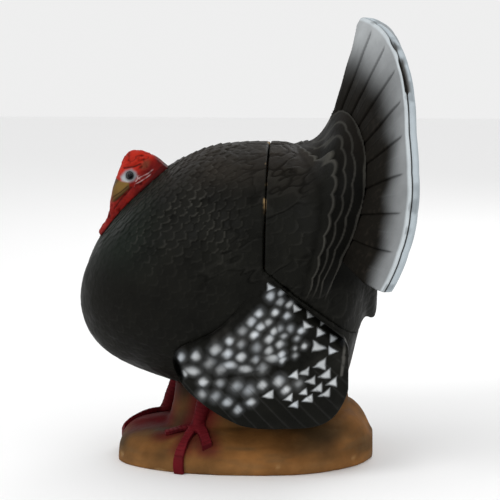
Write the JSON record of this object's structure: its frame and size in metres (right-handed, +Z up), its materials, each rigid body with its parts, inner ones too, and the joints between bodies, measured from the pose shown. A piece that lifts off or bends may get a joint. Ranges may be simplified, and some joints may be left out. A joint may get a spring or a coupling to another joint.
{
  "type": "turkey decoy",
  "caption": "Full-strut turkey decoy in carved painted foam, with tucked head, drooped wings and upright tail fan, standing on an oval ground base; it pulls apart at a seam.",
  "frame": {"origin": "on the ground base's flat underside, midway between the two stake bores", "axes": "+Z up, the bird faces -X, its left side is towards -Y"},
  "size_m": [0.5004, 0.544, 0.66],
  "materials": {
    "body_foam": "airbrushed dense foam with carved feathers",
    "tail_foam": "airbrushed dense foam with carved feathers",
    "fan_foam": "airbrushed foam, pale rim",
    "head_foam": "airbrushed foam, red, pale blue and horn",
    "wing_foam": "airbrushed foam with pale dots",
    "core_foam": "bare dense foam, tan",
    "ground_foam": "airbrushed foam, brown ground",
    "leg_foam": "airbrushed foam, crimson",
    "dowel_wood": "plain turned beech",
    "sleeve_plastic": "black pipe",
    "tang_plastic": "black board",
    "eye_gloss": "glossy black"
  },
  "bodies": {
    "front": {"main_body": "body_foam", "left_wing": "wing_foam", "right_wing": "wing_foam", "wing_pegs": "dowel_wood", "body_dowels": "dowel_wood", "ground_base": "ground_foam", "base_dowels": "dowel_wood", "left_leg": "leg_foam", "right_leg": "leg_foam", "front_stake_sleeve": "sleeve_plastic", "rear_stake_sleeve": "sleeve_plastic"},
    "tail": {"tail_section": "tail_foam"},
    "core": {"vital_core": "core_foam"},
    "fan": {"tail_fan": "fan_foam", "tail_tang": "tang_plastic"},
    "head": {"head": "head_foam", "neck_dowel": "dowel_wood", "left_eye": "eye_gloss", "right_eye": "eye_gloss"}
  },
  "joints": [
    {"name": "tail_section_pull", "type": "slide", "parent": "front", "child": "tail", "axis": [1, 0, 0], "range_m": [0, 0.2]},
    {"name": "core_pull", "type": "slide", "parent": "front", "child": "core", "axis": [1, 0, 0], "range_m": [0, 0.1]},
    {"name": "tail_fan_pull", "type": "slide", "parent": "tail", "child": "fan", "axis": [0.2607, 0, 0.9654], "range_m": [0, 0.1]},
    {"name": "head_pull", "type": "slide", "parent": "front", "child": "head", "axis": [-0.7478, 0, 0.6639], "range_m": [0, 0.08]}
  ],
  "couplings": [
    {"joint": "core_pull", "follows": "tail_section_pull", "ratio": 0.5}
  ]
}
